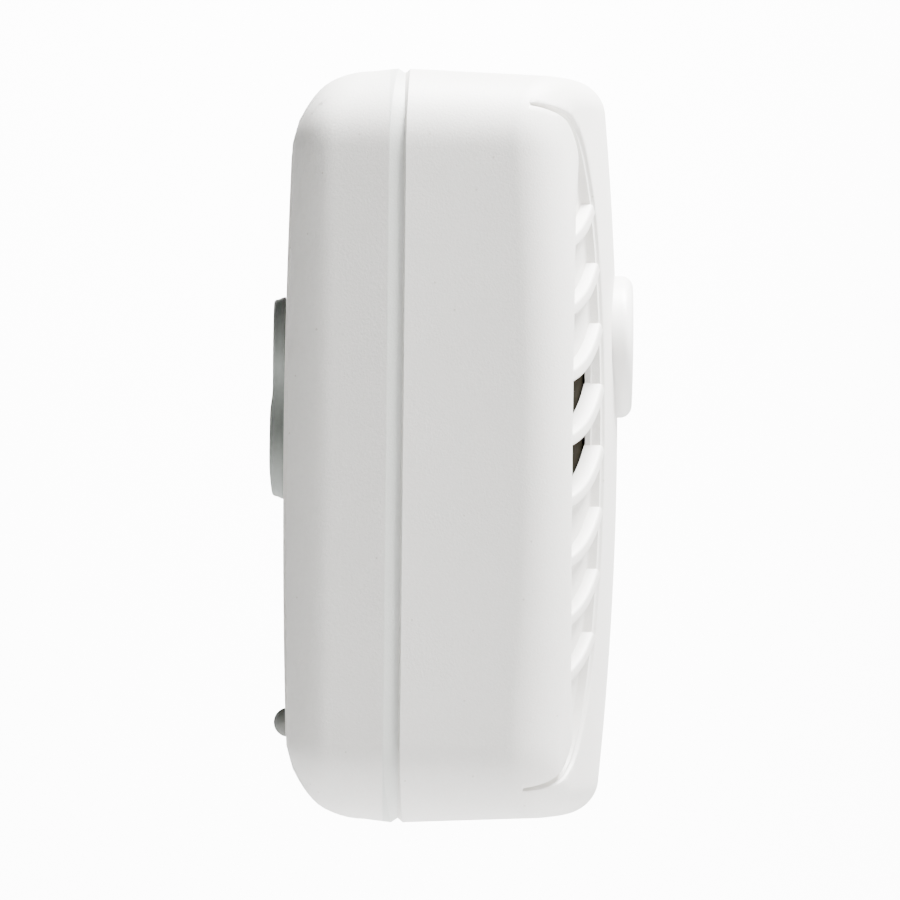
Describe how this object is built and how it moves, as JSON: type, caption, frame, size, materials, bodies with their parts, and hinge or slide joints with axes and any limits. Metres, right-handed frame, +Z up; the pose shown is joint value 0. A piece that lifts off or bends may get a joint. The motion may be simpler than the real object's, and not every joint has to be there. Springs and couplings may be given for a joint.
{
  "type": "alarm siren",
  "caption": "Wall-hung battery alarm siren: two-shell plastic case with curved louvres down each side of the front, round test button and slide-on wall bracket.",
  "frame": {"origin": "middle of the two wall screw holes of the bracket, on the face that lies against the wall", "axes": "+X across the width, -Y to the front of the siren and +Y into the wall, +Z up"},
  "size_m": [0.076, 0.0585, 0.12],
  "materials": {
    "white_plastic": "fine-grained white ABS",
    "button_plastic": "smooth white ABS",
    "grey_plastic": "grey moulded plastic",
    "grey_rubber": "soft translucent grey",
    "black_plastic": "black moulded plastic",
    "clear_plastic": "clear acrylic",
    "steel": "zinc-plated",
    "brass": "rolled sheet",
    "ceramic": "fired and silvered ceramic",
    "cable_black": "PVC insulation",
    "cable_red": "PVC insulation",
    "laminate": "green solder mask",
    "led_red": "tinted epoxy",
    "copper": "enamelled copper wire",
    "ferrite": "sintered ferrite",
    "sleeve_blue": "shrink sleeve",
    "foam": "soft foam",
    "board_blue": "blue solder mask",
    "fibre_board": "pressed fibre board",
    "sleeve_black": "printed steel jacket, plain"
  },
  "bodies": {
    "bracket": {"wall_bracket": "grey_plastic"},
    "housing": {"rear_cover": "white_plastic", "front_cover": "white_plastic", "door_hinge_pin": "steel", "rear_bumper": "grey_rubber", "case_screws": "steel", "light_pipe": "clear_plastic", "sound_chamber": "black_plastic", "piezo_plate": "brass", "piezo_ceramic": "ceramic", "piezo_clamp_ring": "black_plastic", "sounder_leads": "cable_red", "circuit_board": "laminate", "board_screws": "steel", "switch_body": "black_plastic", "button_spring": "steel", "status_led": "led_red", "step_up_coil": "copper", "coil_core": "ferrite", "reservoir_capacitor": "sleeve_blue", "controller_chip": "black_plastic", "radio_module": "board_blue", "radio_shield": "steel", "antenna_coil": "copper", "battery": "sleeve_black", "battery_terminals": "steel", "contact_plate": "fibre_board", "snap_contacts": "steel", "battery_leads": "cable_black", "board_terminals": "steel", "sound_liners": "black_plastic"},
    "button": {"test_button": "button_plastic"},
    "plunger": {"switch_plunger": "black_plastic"},
    "door": {"battery_door": "white_plastic", "bay_pad": "foam"}
  },
  "joints": [
    {"name": "lift_off", "type": "slide", "parent": "bracket", "child": "housing", "axis": [0, 0, 1], "range_m": [0, 0.005]},
    {"name": "button_press", "type": "slide", "parent": "housing", "child": "button", "axis": [0, 1, 0], "range_m": [0, 0.0012], "stiffness_N_per_m": 600, "springref_m": -0.001, "deforming": ["button_spring"]},
    {"name": "plunger_press", "type": "slide", "parent": "housing", "child": "plunger", "axis": [0, 1, 0], "range_m": [0, 0.0012]},
    {"name": "door_hinge", "type": "hinge", "parent": "housing", "child": "door", "pos_m": [0.0264, -0.0046, -0.0356], "axis": [0, 0, -1], "range_deg": [0, 90]}
  ],
  "couplings": [
    {"joint": "plunger_press", "follows": "button_press", "ratio": 1}
  ]
}
